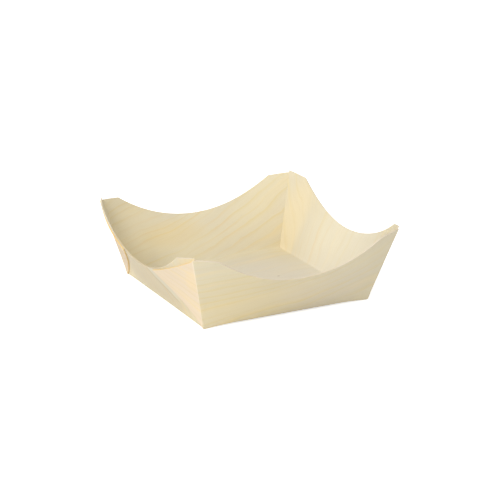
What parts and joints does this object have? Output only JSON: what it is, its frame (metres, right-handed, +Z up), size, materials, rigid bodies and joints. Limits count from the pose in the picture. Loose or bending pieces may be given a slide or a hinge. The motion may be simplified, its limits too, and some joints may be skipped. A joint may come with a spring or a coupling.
{
  "type": "wooden fingerfood bowl",
  "caption": "Square fingerfood dish folded from one sheet of thin wood veneer, with leaning bowed walls, scooped rims and corner tabs glued to the outside.",
  "frame": {"origin": "on the table under the middle of the square base", "axes": "+Z up out of the bowl; +X and +Y along the sides of the square base; the corner tabs lie on the -X and +X walls"},
  "size_m": [0.0908, 0.0902, 0.0306],
  "materials": {
    "veneer": "bare pale veneer, matte, with fine wavy grain"
  },
  "bodies": {
    "root": {"veneer_bowl": "veneer"}
  },
  "joints": []
}
